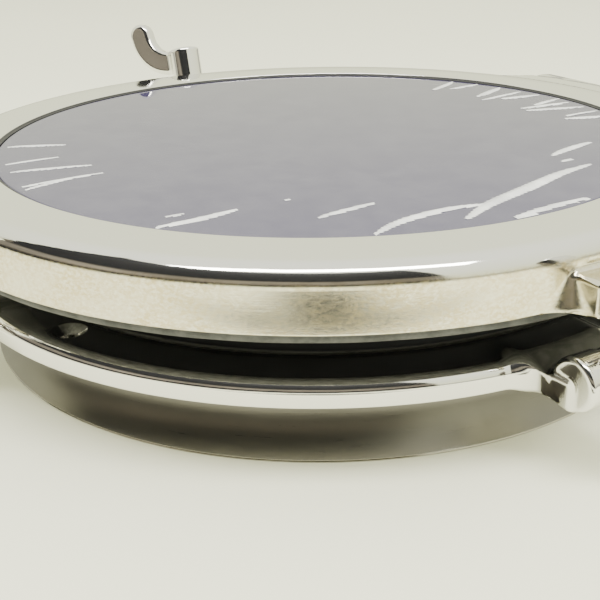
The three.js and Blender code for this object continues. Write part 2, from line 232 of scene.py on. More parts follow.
class Nodes:
    """Short way to build a node tree."""

    def __init__(self, tree):
        self.tree = tree
        tree.nodes.clear()

    def add(self, kind, inputs=None, **settings):
        node = self.tree.nodes.new(kind)
        for key, value in settings.items():
            setattr(node, key, value)
        for key, value in (inputs or {}).items():
            self.put(node.inputs[key], value)
        return node

    def put(self, socket, value):
        if isinstance(value, bpy.types.Node):
            value = value.outputs[0]
        if isinstance(value, bpy.types.NodeSocket):
            self.tree.links.new(value, socket)
        else:
            socket.default_value = value

    def math(self, operation, *values):
        node = self.add("ShaderNodeMath", operation=operation)
        for i, value in enumerate(values):
            self.put(node.inputs[i], value)
        return node.outputs[0]

    def ramp(self, value, low, high, to_low=0.0, to_high=1.0):
        """Maps low and high to two new values, and holds them beyond."""
        inputs = {"Value": value, "From Min": low, "From Max": high, "To Min": to_low, "To Max": to_high}
        return self.add("ShaderNodeMapRange", inputs, clamp=True).outputs[0]

    def noise(self, vector, scale, detail=3.0, rough=0.55):
        """Cloudy noise from 0 to 1. A higher scale makes it finer."""
        inputs = {"Vector": vector, "Scale": scale, "Detail": detail, "Roughness": rough}
        return self.add("ShaderNodeTexNoise", inputs).outputs["Fac"]

    def blend(self, factor, first, second):
        node = self.add("ShaderNodeMix", data_type="RGBA")
        self.put(node.inputs[0], factor)
        self.put(node.inputs[6], first)
        self.put(node.inputs[7], second)
        return node.outputs[2]

    def stretch(self, vector, x, y, z):
        return self.add("ShaderNodeMapping", {"Vector": vector, "Scale": (x, y, z)}).outputs[0]

    def bump(self, height, strength, distance):
        inputs = {"Height": height, "Strength": strength, "Distance": distance}
        return self.add("ShaderNodeBump", inputs).outputs[0]


def new_material(name):
    """A material, its node helper, its shader and the piece's own coordinates in metres."""
    material = bpy.data.materials.new(name)
    material.use_nodes = True
    nodes = Nodes(material.node_tree)
    shader = nodes.add("ShaderNodeBsdfPrincipled")
    output = nodes.add("ShaderNodeOutputMaterial")
    nodes.put(output.inputs["Surface"], shader)
    place = nodes.add("ShaderNodeTexCoord").outputs["Object"]
    return material, nodes, shader, place


def around(nodes, place):
    """Coordinates that unroll the ring: angle in radians, distance from the axis, and height in metres."""
    split = nodes.add("ShaderNodeSeparateXYZ", {"Vector": place})
    x, y, z = split.outputs
    angle = nodes.math("ARCTAN2", y, x)
    squares = nodes.math("ADD", nodes.math("MULTIPLY", x, x), nodes.math("MULTIPLY", y, y))
    radius = nodes.math("POWER", squares, 0.5)
    joined = nodes.add("ShaderNodeCombineXYZ", {"X": angle, "Y": radius, "Z": z})
    return joined.outputs[0], radius, z


# ---- materials


def water_marks(nodes, place, ring, radius, height):
    """Where the door's wall is, and how much dried water marks cover it."""
    wall = nodes.math(
        "MULTIPLY",
        nodes.ramp(radius, (DOOR_R - 0.8) * MM, (DOOR_R - 0.2) * MM),
        nodes.ramp(height, (DOOR_TOP - 3.5) * MM, (DOOR_TOP - 5.5) * MM),
    )
    patches = nodes.ramp(nodes.noise(nodes.stretch(place, 1, 1, 1.6), 45, 5, 0.62), 0.38, 0.60)
    specks = nodes.ramp(nodes.noise(nodes.stretch(place, 1, 1, 1.5), 620, 4, 0.6), 0.46, 0.58)
    fine = nodes.ramp(nodes.noise(nodes.stretch(ring, 75, 1, 900), 1.0, 5, 0.7), 0.42, 0.62)
    detail = nodes.math("MAXIMUM", specks, fine)
    cover = nodes.math("MULTIPLY", detail, nodes.ramp(patches, 0, 1, 0.35, 1.0))
    return wall, nodes.math("MULTIPLY", wall, cover)


def polished_steel(name="polished_steel", stained=False, shaded_coaming=False):
    """Mirror-polished stainless steel, with dried water marks on the door's wall or painted shade on the
    coaming.
    """
    material, nodes, shader, place = new_material(name)
    ring, radius, height = around(nodes, place)
    hairline = nodes.noise(nodes.stretch(ring, 6, 1500, 1500), 1.0, 4)
    smear = nodes.noise(place, 22, 4)
    rough = nodes.ramp(smear, 0.35, 0.75, 0.035, 0.11)
    colour = (0.80, 0.79, 0.755, 1)
    if stained:
        warm_steel, dried_water = (0.78, 0.75, 0.63, 1), (0.62, 0.52, 0.31, 1)
        wall, marks = water_marks(nodes, place, ring, radius, height)
        colour = nodes.blend(wall, colour, warm_steel)
        colour = nodes.blend(nodes.math("MULTIPLY", marks, 0.85), colour, dried_water)
        rough = nodes.math("ADD", rough, nodes.math("MULTIPLY", marks, 0.12))
        rough = nodes.math("ADD", rough, nodes.math("MULTIPLY", wall, 0.06))
        hairline = nodes.math("ADD", hairline, nodes.math("MULTIPLY", marks, 0.8))
    if shaded_coaming:
        # The flange's top next to the coaming, and the coaming above it, are painted near-black and rougher:
        # painted shade for the dark gap under the door.
        coaming_shade = nodes.math(
            "MULTIPLY",
            nodes.ramp(radius, (COAMING_R + 5) * MM, (COAMING_R + 2) * MM),
            nodes.ramp(height, (FLANGE_TOP - 0.5) * MM, (FLANGE_TOP + 1) * MM),
        )
        painted_gap_shade = (0.035, 0.035, 0.04, 1)
        colour = nodes.blend(coaming_shade, colour, painted_gap_shade)
        rough = nodes.math("ADD", rough, nodes.math("MULTIPLY", coaming_shade, 0.5))
    nodes.put(shader.inputs["Base Color"], colour)
    nodes.put(shader.inputs["Metallic"], 1.0)
    nodes.put(shader.inputs["Roughness"], rough)
    nodes.put(shader.inputs["Normal"], nodes.bump(hairline, 0.05, 0.0002))
    return material


def satin_steel():
    """Stainless steel with a fine turned grain running round the ring, and a painted highlight along its
    bottom rim.
    """
    material, nodes, shader, place = new_material("satin_steel")
    ring, _, height = around(nodes, place)
    grain = nodes.noise(nodes.stretch(ring, 5, 2600, 2600), 1.0, 5, 0.7)
    cloud = nodes.noise(place, 18, 3)
    # The rim's paler colour is a painted highlight along the bottom edge.
    rim = nodes.ramp(height, 1.1 * MM, 0.9 * MM)
    # Both greys are darker than bare steel: the satin finish's own tone, deepened as painted shade for the
    # trim lying under the flange.
    dark, light, rim_highlight = (0.17, 0.162, 0.14, 1), (0.22, 0.21, 0.18, 1), (0.44, 0.42, 0.37, 1)
    colour = nodes.blend(nodes.ramp(cloud, 0.3, 0.7), dark, light)
    nodes.put(shader.inputs["Base Color"], nodes.blend(rim, colour, rim_highlight))
    nodes.put(shader.inputs["Metallic"], 1.0)
    rough = nodes.ramp(grain, 0.3, 0.7, 0.27, 0.33)
    nodes.put(shader.inputs["Roughness"], nodes.math("SUBTRACT", rough, nodes.math("MULTIPLY", rim, 0.18)))
    nodes.put(shader.inputs["Anisotropic"], 0.5)
    nodes.put(shader.inputs["Tangent"], nodes.add("ShaderNodeTangent", direction_type="RADIAL", axis="Z"))
    nodes.put(shader.inputs["Normal"], nodes.bump(grain, 0.05, 0.0002))
    return material


def rubber():
    """Dark grey gasket rubber with a dusty, finely pitted skin."""
    material, nodes, shader, place = new_material("gasket_rubber")
    pits = nodes.noise(place, 1400, 4, 0.7)
    dust = nodes.ramp(nodes.noise(place, 160, 5, 0.65), 0.4, 0.72)
    dark, pale = (0.050, 0.051, 0.051, 1), (0.135, 0.135, 0.132, 1)
    nodes.put(shader.inputs["Base Color"], nodes.blend(dust, dark, pale))
    nodes.put(shader.inputs["Roughness"], nodes.ramp(dust, 0, 1, 0.62, 0.9))
    nodes.put(shader.inputs["Normal"], nodes.bump(pits, 0.5, 0.0003))
    return material


def sealant():
    """Black glazing sealant, tooled smooth with slight ripples."""
    material, nodes, shader, place = new_material("sealant")
    ripple = nodes.noise(place, 120, 3)
    black, greyer = (0.006, 0.006, 0.007, 1), (0.016, 0.016, 0.017, 1)
    nodes.put(shader.inputs["Base Color"], nodes.blend(ripple, black, greyer))
    nodes.put(shader.inputs["Roughness"], nodes.ramp(ripple, 0.3, 0.7, 0.4, 0.6))
    nodes.put(shader.inputs["Normal"], nodes.bump(ripple, 0.3, 0.0005))
    return material


def tinted_glass():
    """Dark tinted glass with a violet cast."""
    material, nodes, shader, place = new_material("tinted_glass")
    cast = nodes.noise(place, 6, 2)
    violet, paler = (0.046, 0.036, 0.112, 1), (0.056, 0.046, 0.116, 1)
    nodes.put(shader.inputs["Base Color"], nodes.blend(cast, violet, paler))
    nodes.put(shader.inputs["Transmission Weight"], 0.15)
    nodes.put(shader.inputs["IOR"], 1.52)
    nodes.put(shader.inputs["Roughness"], nodes.ramp(nodes.noise(place, 30, 3), 0.3, 0.7, 0.01, 0.03))
    return material


def clear_film(name, cloudy):
    """Clear plastic film. Where it has lifted it is cloudy white."""
    material, nodes, shader, place = new_material(name)
    haze = nodes.noise(place, 90, 4)
    thin, thick = (0.72, 0.96) if cloudy else (0.0, 0.03)
    bluish, white = (0.80, 0.80, 0.84, 1), (0.92, 0.92, 0.93, 1)
    nodes.put(shader.inputs["Base Color"], nodes.blend(haze, bluish, white))
    nodes.put(shader.inputs["Alpha"], nodes.ramp(haze, 0.35, 0.65, thin, thick))
    nodes.put(shader.inputs["Roughness"], 0.22 if cloudy else 0.05)
    nodes.put(shader.inputs["Normal"], nodes.bump(nodes.noise(place, 260, 3), 0.15, 0.0002))
    return material


def acetal():
    """Natural moulded plastic."""
    material, nodes, shader, place = new_material("acetal")
    grain = nodes.noise(place, 500, 3)
    ivory, pale_ivory = (0.70, 0.68, 0.61, 1), (0.80, 0.78, 0.72, 1)
    nodes.put(shader.inputs["Base Color"], nodes.blend(grain, ivory, pale_ivory))
    nodes.put(shader.inputs["Roughness"], nodes.ramp(grain, 0.3, 0.7, 0.4, 0.55))
    nodes.put(shader.inputs["Normal"], nodes.bump(grain, 0.1, 0.0002))
    return material


# ---- mesh helpers


def mesh_of(name, vertices, faces):
    """A mesh in metres from vertices in millimetres."""
    mesh = bpy.data.meshes.new(name)
    mesh.from_pydata((np.asarray(vertices) * MM).tolist(), [], [list(map(int, f)) for f in faces])
    return mesh


def add_piece(name, vertices, faces, material, body, nodes_replaced, slot, sharp=40):
    """A mesh from millimetres that rides on a body and stands for CAD nodes."""
    mesh = mesh_of(name, vertices, faces)
    mesh.validate()
    mesh.materials.append(material)
    piece = new_object(name, mesh)
    smooth(piece, sharp)
    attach(piece, body)
    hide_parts(*nodes_replaced)
    return piece


def smooth(piece, sharp):
    """Smooth shading, with edges sharper than an angle in degrees kept crisp."""
    piece.data.polygons.foreach_set("use_smooth", [True] * len(piece.data.polygons))
    piece.data.set_sharp_from_angle(angle=math.radians(sharp))


def cut_or_join(piece, tools, operation):
    """Applies booleans with tool meshes given as (vertices, faces) in millimetres."""
    for vertices, faces in tools:
        tool = new_object("tool", mesh_of("tool", vertices, faces))
        modifier = piece.modifiers.new("boolean", "BOOLEAN")
        modifier.operation = operation
        modifier.solver = "MANIFOLD"
        modifier.object = tool
        graph = bpy.context.evaluated_depsgraph_get()
        result = bpy.data.meshes.new_from_object(piece.evaluated_get(graph), depsgraph=graph)
        piece.modifiers.clear()
        piece.data = result
        bpy.data.objects.remove(tool)


def arc(cx, cy, r, start, end, steps):
    a = np.radians(np.linspace(start, end, steps + 1))
    return list(zip(cx + r * np.cos(a), cy + r * np.sin(a)))


def rounded(outline, steps=4):
    """A closed outline of (x, y, corner radius), its corners turned into arcs."""
    points = []
    count = len(outline)
    for i, (x, y, r) in enumerate(outline):
        here = np.array((x, y), float)
        if r == 0:
            points.append(tuple(here))
            continue
        before = np.array(outline[i - 1][:2], float) - here
        after = np.array(outline[(i + 1) % count][:2], float) - here
        before /= np.linalg.norm(before)
        after /= np.linalg.norm(after)
        half = math.acos(np.clip(before @ after, -1, 1)) / 2
        reach = r / math.tan(half)
        centre = here + (before + after) / np.linalg.norm(before + after) * (r / math.sin(half))
        first, last = here + before * reach - centre, here + after * reach - centre
        a0, a1 = math.atan2(first[1], first[0]), math.atan2(last[1], last[0])
        sweep = (a1 - a0 + math.pi) % (2 * math.pi) - math.pi
        for k in range(steps + 1):
            a = a0 + sweep * k / steps
            points.append((centre[0] + r * math.cos(a), centre[1] + r * math.sin(a)))
    return points


def loop_faces(rings, sides, closed_rings=True, closed_sides=True):
    """Quads between rings of vertices, stored ring after ring."""
    faces = []
    for i in range(rings if closed_rings else rings - 1):
        j = (i + 1) % rings
        for k in range(sides if closed_sides else sides - 1):
            n = (k + 1) % sides
            faces.append((i * sides + k, j * sides + k, j * sides + n, i * sides + n))
    return faces


def spun(profile, sides):
    """Vertices of a line of (radius, height) at each step round the Z axis."""
    a = np.radians(np.arange(sides) * 360 / sides)
    vertices = np.empty((sides, len(profile), 3))
    vertices[..., 0] = np.cos(a)[:, None] * profile[:, 0]
    vertices[..., 1] = np.sin(a)[:, None] * profile[:, 0]
    vertices[..., 2] = profile[:, 1]
    return vertices.reshape(-1, 3)


def turned(outline, sides):
    """A ring turned round the Z axis from a closed outline of (radius, height), anticlockwise."""
    return spun(np.array(outline), sides), loop_faces(sides, len(outline))


def solid_of_revolution(outline, sides=48):
    """As turned, for an outline that starts and ends on the axis."""
    middle = np.array(outline[1:-1])
    faces = loop_faces(sides, len(middle), closed_sides=False)
    count = sides * len(middle)
    ends = [(0, 0, outline[0][1]), (0, 0, outline[-1][1])]
    for i in range(sides):
        j = (i + 1) % sides
        faces.append((count, j * len(middle), i * len(middle)))
        faces.append((count + 1, (i + 1) * len(middle) - 1, (j + 1) * len(middle) - 1))
    return np.vstack([spun(middle, sides), ends]), faces


def flat_washer(inner, outer, bottom, top, inner_edge, outer_edge):
    """A small ring with rounded edges."""
    outline = [
        (inner, bottom, inner_edge),
        (outer, bottom, outer_edge),
        (outer, top, outer_edge),
        (inner, top, inner_edge),
    ]
    return turned(rounded(outline), SMALL_SIDES)


def moved(shape, matrix):
    """(vertices, faces) with its vertices moved by a 4x4 matrix in millimetres."""
    vertices, faces = shape
    m = np.array(matrix)
    return vertices @ m[:3, :3].T + m[:3, 3], faces


# ---- distance fields


def rounded_corner(q, edge):
    """Distance to a shape bounded on several sides, its corners rounded by edge.

    q holds how far a point lies past each side, plus edge.
    """
    return np.linalg.norm(np.maximum(q, 0), axis=-1) + np.minimum(q.max(-1), 0) - edge


def from_axis(p):
    """Distance from the Z axis."""
    return np.hypot(p[..., 0], p[..., 1])


def box_field(p, low, high, edge):
    """Distance to a box with rounded edges."""
    centre, half = (np.array(low) + high) / 2, (np.array(high) - low) / 2 - edge
    return rounded_corner(np.abs(p - centre) - half, edge)


def capped_field(p, start, end, axis, r, edge):
    """Distance to a round bar along one axis, with rounded ends. start and end are its ends' centres."""
    others = [i for i in range(3) if i != axis]
    middle, half = (start[axis] + end[axis]) / 2, abs(end[axis] - start[axis]) / 2
    across = np.hypot(p[..., others[0]] - start[others[0]], p[..., others[1]] - start[others[1]])
    q = np.stack([across - (r - edge), np.abs(p[..., axis] - middle) - (half - edge)], -1)
    return rounded_corner(q, edge)


def merge(a, b, fillet):
    """Union of two shapes, blended over a fillet of about that size."""
    h = np.maximum(fillet - np.abs(a - b), 0) / fillet
    return np.minimum(a, b) - h * h * fillet / 4


def carve(a, b, fillet):
    """a with b cut out, the new edge rounded over about that size."""
    return -merge(-a, b, fillet)


def disc_field(p, outer, bottom, top, top_r, bottom_r):
    """Distance to a flat disc, its top and bottom edges rounded."""
    z = p[..., 2]
    middle = (bottom + top) / 2
    edge = np.where(z > middle, top_r, bottom_r)
    q = np.stack([from_axis(p) - (outer - edge), np.abs(z - middle) - ((top - bottom) / 2 - edge)], -1)
    return rounded_corner(q, edge)


CELL_CORNERS = [(i, j, k) for i in (0, 1) for j in (0, 1) for k in (0, 1)]


def at_corner(values, corner):
    """A grid's values at one corner of each of its cells."""
    i, j, k = (slice(1, None) if c else slice(0, -1) for c in corner)
    return values[i, j, k]


def crossing_points(value, grid, crossed):
    """For each crossed cell, the mean of the places where its edges meet the surface."""
    total, hits = np.zeros((crossed.sum(), 3)), np.zeros(crossed.sum())
    for a in CELL_CORNERS:
        for axis in range(3):
            if a[axis]:
                continue
            b = tuple(v + (i == axis) for i, v in enumerate(a))
            va, vb = at_corner(value, a)[crossed], at_corner(value, b)[crossed]
            cuts = (va < 0) != (vb < 0)
            t = np.where(cuts, va / np.where(cuts, va - vb, 1), 0)
            pa, pb = at_corner(grid, a)[crossed], at_corner(grid, b)[crossed]
            total += np.where(cuts[:, None], pa + (pb - pa) * t[:, None], 0)
            hits += cuts
    return total / hits[:, None]


def crossed_faces(inside, number):
    """A quad round each grid edge that meets the surface, between the four cells that share the edge."""
    faces = []
    for axis in range(3):
        u, v = (axis + 1) % 3, (axis + 2) % 3
        here = tuple(slice(1, -1) if i != axis else slice(0, -1) for i in range(3))
        there = tuple(slice(1, -1) if i != axis else slice(1, None) for i in range(3))
        for first, flip in ((True, False), (False, True)):
            edges = np.argwhere((inside[here] == first) & (inside[there] != first))
            edges += [0 if i == axis else 1 for i in range(3)]
            quad = []
            for du, dv in ((-1, -1), (0, -1), (0, 0), (-1, 0)):
                cell = edges.copy()
                cell[:, u] += du
                cell[:, v] += dv
                quad.append(number[tuple(cell.T)])
            quad = np.stack(quad, -1)
            faces.append(quad[:, ::-1] if flip else quad)
    return np.vstack(faces)


def net(field, low, high, step):
    """Closed mesh of a distance field's zero surface, with one vertex in each crossed cell.

    It is cut off square just inside the space, so that no edge is open.
    """
    axes = [np.arange(low[i], high[i] + step, step) for i in range(3)]
    grid = np.stack(np.meshgrid(*axes, indexing="ij"), -1)
    inner_low, inner_high = np.array(low) + 1.5 * step, np.array(high) - 1.5 * step

    def closed(p):
        return np.maximum(field(p), box_field(p, inner_low, inner_high, 0))

    value = closed(grid)
    inside = value < 0
    count = sum(at_corner(inside, corner).astype(int) for corner in CELL_CORNERS)
    crossed = (count > 0) & (count < len(CELL_CORNERS))
    number = np.full(crossed.shape, -1)
    number[crossed] = np.arange(crossed.sum())
    points = crossing_points(value, grid, crossed)
    for _ in range(3):
        points = onto_surface(closed, points)
    return points, crossed_faces(inside, number)


def onto_surface(field, points):
    """Points moved one step down the field's slope, to where it is about zero."""
    nudge, flattest = 1e-3, 0.05
    gradient = np.stack([field(points + d) - field(points - d) for d in np.eye(3) * nudge], -1) / (2 * nudge)
    steepness = np.maximum((gradient**2).sum(-1), flattest)
    return points - gradient * (field(points) / steepness)[:, None]


def on_ring(azimuth):
    """Matrix from a lug's own frame, +X outwards, to its place on the ring."""
    return turn("Z", azimuth)


# ---- castings


def casting(name, base, bosses, holes, body, nodes_replaced):
    """A turned ring joined with bosses and drilled, as one smooth polished casting."""
    steel = STEEL_DOOR if body == "door" else STEEL_FRAME
    piece = add_piece(name, *base, steel, body, nodes_replaced, "polished_steel")
    cut_or_join(piece, bosses, "UNION")
    cut_or_join(piece, holes, "DIFFERENCE")
    smooth(piece, CASTING_CREASE)


def flange_field(p):
    top, bottom = FLANGE_TOP - INSET, FLANGE_BOTTOM + INSET
    return disc_field(p, FLANGE_R - INSET, bottom, top, FLANGE_EDGE_R, FLANGE_UNDER_EDGE_R)


def door_field(p):
    top, bottom = DOOR_TOP - INSET, DOOR_BOTTOM + INSET
    return disc_field(p, DOOR_R - INSET, bottom, top, DOOR_EDGE_R, DOOR_UNDER_EDGE_R)


def only_rim(p, shape, ring_r):
    """Leaves out what lies well inside a ring's rim, where the ring itself fills the space."""
    return np.maximum(shape, ring_r - RIM_DEPTH - from_axis(p))


def clevis_field(p):
    """Two ears for a dog's pivot on a foot that grows out of the flange."""
    half, gap = EYE_HALF + GAP + EAR_T, EYE_HALF + GAP
    foot_start = FLANGE_R - FOOT_OVERLAP
    foot = box_field(p, (foot_start, -half, FLANGE_BOTTOM), (PIVOT_R, half, FLANGE_TOP), edge=1.2)
    boss = capped_field(p, (PIVOT_R, -half, PIVOT_Z), (PIVOT_R, half, PIVOT_Z), axis=1, r=BOSS_R, edge=1.6)
    both = merge(merge(foot, boss, fillet=3), flange_field(p), fillet=8)
    slot = box_field(p, (PIVOT_R - EYE_R - 1, -gap, 0), (PIVOT_R + 40, gap, 80), edge=0.5)
    return only_rim(p, carve(both, slot, fillet=1.2), FLANGE_R)


def fork_field(p):
    """Fork that a dog's bolt swings into, on the door's wall, its fillet narrowing upwards."""
    start = DOOR_R - FOOT_OVERLAP
    lug = box_field(p, (start, -FORK_HALF, FORK_BOTTOM), (FORK_END_R, FORK_HALF, FORK_TOP), edge=1.6)
    fillet = np.interp(p[..., 2], [FORK_BOTTOM, FORK_TOP], FORK_FILLETS)
    both = merge(lug, door_field(p), fillet)
    inwards = np.maximum(PIVOT_R - p[..., 0], 0)
    slot = np.hypot(inwards, p[..., 1]) - (BOLT_R + BOLT_ROOM)
    span = np.maximum(p[..., 2] - (DOOR_TOP - INSET), FORK_BOTTOM - p[..., 2])
    return np.maximum(only_rim(p, carve(both, slot, fillet=1.4), DOOR_R), span)


def segment_field(p, start, end):
    """Distance to a line in Y and Z, whatever the X."""
    start, end = np.array(start), np.array(end)
    at = p[..., 1:] - start
    along = np.clip(at @ (end - start) / ((end - start) @ (end - start)), 0, 1)
    return np.linalg.norm(at - along[..., None] * (end - start), axis=-1)


def slab(p, field, left, right, edge):
    """A shape in Y and Z cut to a width in X, with its edges rounded. It is the same at -X."""
    x = np.abs(p[..., 0])
    q = np.stack([field + edge, np.abs(x - (left + right) / 2) - (right - left) / 2 + edge], -1)
    return rounded_corner(q, edge)


def tab_field(p):
    """The door's hinge tab with its two knuckles, at +Y."""
    tab = box_field(p, (-TAB_HALF, DOOR_R - 25, TAB_BOTTOM), (TAB_HALF, TAB_END_Y, TAB_TOP), edge=1.5)
    arm = segment_field(p, (TAB_END_Y - 6, TAB_BOTTOM + 5), (HINGE_Y, HINGE_Z)) - KNUCKLE_ARM_R
    barrel = segment_field(p, (HINGE_Y, HINGE_Z), (HINGE_Y, HINGE_Z + 0.01)) - HINGE_R
    knuckle = slab(p, merge(arm, barrel, fillet=4), KNUCKLE_IN, TAB_HALF, edge=0.9)
    both = merge(merge(tab, knuckle, fillet=3), door_field(p), fillet=11)
    top = p[..., 2] - (DOOR_TOP - TAB_STEP)
    return np.maximum(only_rim(p, both, DOOR_R), top)


def ears_field(p):
    """The frame's two hinge ears, at +Y."""
    past_ears = 99
    end_y = HINGE_Y + HINGE_R - 2
    root = box_field(p, (-past_ears, FLANGE_R - 10, FLANGE_BOTTOM), (past_ears, end_y, FLANGE_TOP), edge=1)
    post = segment_field(p, (HINGE_Y, FLANGE_BOTTOM + HINGE_R), (HINGE_Y, HINGE_Z)) - HINGE_R
    ear = slab(p, merge(root, post, fillet=14), EAR_IN, EAR_OUT, edge=0.9)
    return only_rim(p, merge(ear, flange_field(p), fillet=5), FLANGE_R)


def countersunk_hole():
    """Tool that drills one hole: a 6.4 mm bore with a 12 mm countersink and a soft lip."""
    bore_r, head_r, lip_r = 3.2, 6.05, 6.4
    outline = [
        (0, FLANGE_BOTTOM - 1),
        (bore_r, FLANGE_BOTTOM - 1),
        (bore_r, FLANGE_TOP - 2.9),
        (bore_r + 0.15, FLANGE_TOP - 2.65),
        (head_r - 0.2, FLANGE_TOP - 0.2),
        (head_r, FLANGE_TOP - 0.06),
        (lip_r, FLANGE_TOP + 0.02),
        (lip_r, FLANGE_TOP + 1),
        (0, FLANGE_TOP + 1),
    ]
    return solid_of_revolution(outline)


def make_frame_casting():
    outline = rounded(
        [
            (BORE_R, SPIGOT_BOTTOM, 0.8),
            (SPIGOT_R, SPIGOT_BOTTOM, 0.8),
            (SPIGOT_R, REBATE_TOP, 0),
            (REBATE_R, REBATE_TOP, 0.2),
            (REBATE_R, FLANGE_BOTTOM, 0.3),
            (FLANGE_R, FLANGE_BOTTOM, FLANGE_UNDER_EDGE_R),
            (FLANGE_R, FLANGE_TOP, FLANGE_EDGE_R),
            (COAMING_R, FLANGE_TOP, 2.5),
            (COAMING_R, COAMING_TOP, 1.0),
            (BORE_R, COAMING_TOP, 2.0),
        ],
        CURVE_STEPS,
    )
    clevis = net(clevis_field, *CLEVIS_SPACE, FINE)
    bosses = [moved(clevis, on_ring(azimuth)) for azimuth in AZIMUTHS.values()]
    bosses.append(net(ears_field, *EARS_SPACE, COARSE))
    place = Matrix.Translation((SCREW_CIRCLE_R, 0, 0))
    hole = countersunk_hole()
    holes = [moved(hole, on_ring(degrees) @ place) for degrees in SCREW_DEGREES]
    casting("frame_casting", turned(outline, SIDES), bosses, holes, "frame", ["frame_body"])


def make_door_casting():
    outline = rounded(
        [
            (LEDGE_R, DOOR_BOTTOM, 0.5),
            (DOOR_R, DOOR_BOTTOM, DOOR_UNDER_EDGE_R),
            (DOOR_R, DOOR_TOP, DOOR_EDGE_R),
            (SIGHT_R, DOOR_TOP, 0.5),
            (SIGHT_R, GLASS_BOTTOM - 1.4, 0),
            (LEDGE_R, GLASS_BOTTOM - 1.4, 0.4),
        ],
        CURVE_STEPS,
    )
    fork = net(fork_field, *FORK_SPACE, FINE)
    bosses = [moved(fork, on_ring(azimuth)) for azimuth in AZIMUTHS.values()]
    bosses.append(net(tab_field, *TAB_SPACE, COARSE))
    prongs = [f"fork_prong_{name}_{side}" for name in DOGS for side in "ab"]
    casting("door_casting", turned(outline, SIDES), bosses, [], "door", ["door_frame", *prongs])


# ---- rings, glass and film


def make_trim():
    cove_r = 24.9
    thickness = 1.6
    centre_r, centre_z = TRIM_SLEEVE_R + cove_r, 20.0
    rim_height, back_height = 1.0, 2.5
    dip = math.degrees(math.asin((centre_z - rim_height) / cove_r))
    back = math.degrees(math.asin((centre_z - back_height) / (cove_r + thickness)))
    sleeve_top = REBATE_TOP - GAP
    outline = [
        (TRIM_SLEEVE_R, sleeve_top),
        *arc(centre_r, centre_z, cove_r, 180, 180 + dip, 40),
        (TRIM_R - 0.15, 0.75),
        (TRIM_R, 0.5),
        (TRIM_R - 0.15, 0.15),
        (TRIM_R - 0.6, 0),
        (TRIM_R - 3.3, 0),
        *arc(centre_r, centre_z, cove_r + thickness, 180 + back, 180, 24),
        (TRIM_SLEEVE_R - thickness, sleeve_top),
    ]
    shape = turned(outline[::-1], SIDES)
    add_piece("trim_flare", *shape, satin_steel(), "frame", ["trim_ring"], "satin_steel")


def make_gasket():
    outline = rounded(
        [
            (LEDGE_R + 0.5, GASKET_BOTTOM, 0.6),
            (GASKET_R, GASKET_BOTTOM, 1.1),
            (GASKET_R + 0.35, (GASKET_BOTTOM + DOOR_BOTTOM) / 2, 1.0),
            (GASKET_R, DOOR_BOTTOM, 0.5),
            (LEDGE_R + 0.5, DOOR_BOTTOM, 0.3),
        ]
    )
    vertices, faces = turned(outline, SIDES)
    wave_height, waves = 0.06, 37
    wobble = wave_height * np.sin(np.arctan2(vertices[:, 1], vertices[:, 0]) * waves)
    outer = np.hypot(vertices[:, 0], vertices[:, 1]) > GASKET_R - 2
    vertices[:, :2] *= (1 + np.where(outer, wobble / GASKET_R, 0))[:, None]
    add_piece("gasket_ring", vertices, faces, rubber(), "door", ["door_gasket"], "gasket_rubber")


def make_glazing():
    seal = rounded(
        [
            (LEDGE_R + 0.5, GLASS_BOTTOM - 1.1, 0.2),
            (SIGHT_R - 0.02, GLASS_BOTTOM - 1.1, 0.2),
            (SIGHT_R - 0.02, GLASS_TOP + 0.75, 0),
            (SIGHT_R - 0.55, GLASS_TOP + 0.35, 0.3),
            (GLASS_R + 0.12, GLASS_TOP + 0.12, 0),
            (GLASS_R + 0.12, GLASS_BOTTOM - 0.1, 0),
            (LEDGE_R + 0.5, GLASS_BOTTOM - 0.1, 0),
        ],
        3,
    )
    add_piece("glazing_bead", *turned(seal, SIDES), sealant(), "door", ["glazing_seal"], "sealant")
    chamfer = 0.6
    pane = [
        (0, GLASS_BOTTOM),
        (GLASS_R - chamfer, GLASS_BOTTOM),
        (GLASS_R, GLASS_BOTTOM + chamfer),
        (GLASS_R, GLASS_TOP - chamfer),
        (GLASS_R - chamfer, GLASS_TOP),
        (0, GLASS_TOP),
    ]
    shape = solid_of_revolution(pane, SIDES)
    add_piece("glass_disc", *shape, tinted_glass(), "door", ["glass_pane"], "tinted_glass", 30)


def wrinkle(p, start, end, width, height, bow, wave):
    """Height of one tapered ridge from start to end over points in X and Y."""
    start, end = np.array(start), np.array(end)
    length = np.linalg.norm(end - start)
    way = (end - start) / length
    side = np.array([-way[1], way[0]])
    t = ((p - start) @ way) / length
    across = (p - start) @ side - bow * 4 * t * (1 - t) - wave * np.sin(t * 9) * t * (1 - t) * 2
    taper = np.clip(4 * t * (1 - t), 0, 1) ** 0.6
    half = np.maximum(width / 2 * taper, 1e-6)
    shape = np.clip(1 - (across / half) ** 2, 0, 1)
    return np.where((t > 0) & (t < 1), height * taper * shape, 0)


def polar(azimuth, r):
    a = math.radians(azimuth)
    return (r * math.cos(a), r * math.sin(a))


def fan_ridges():
    """Ridges that start at the film's rim, no two quite alike."""
    ridges = []
    for azimuths, outer, inner, width in FANS:
        for i, azimuth in enumerate(azimuths):
            lean = 3 * math.sin(2.1 * i)
            end = inner + 7 * math.sin(1.7 * i + 0.5)
            own_width = width * (1 + 0.3 * math.cos(2.6 * i))
            ridges.append(((azimuth, outer), (azimuth - lean, end), own_width, FAN_RISE, FAN_BOW, FAN_WAVE))
    return ridges


def film_wrinkles(p):
    """All the ridges of the film, by azimuth and distance from the ring axis."""
    height = np.zeros(len(p))
    for (a0, r0), (a1, r1), width, rise, bow, wave in RIDGES + fan_ridges():
        one = wrinkle(p, polar(a0, r0), polar(a1, r1), width, rise, bow, wave)
        height = np.maximum(height, one)
    return height


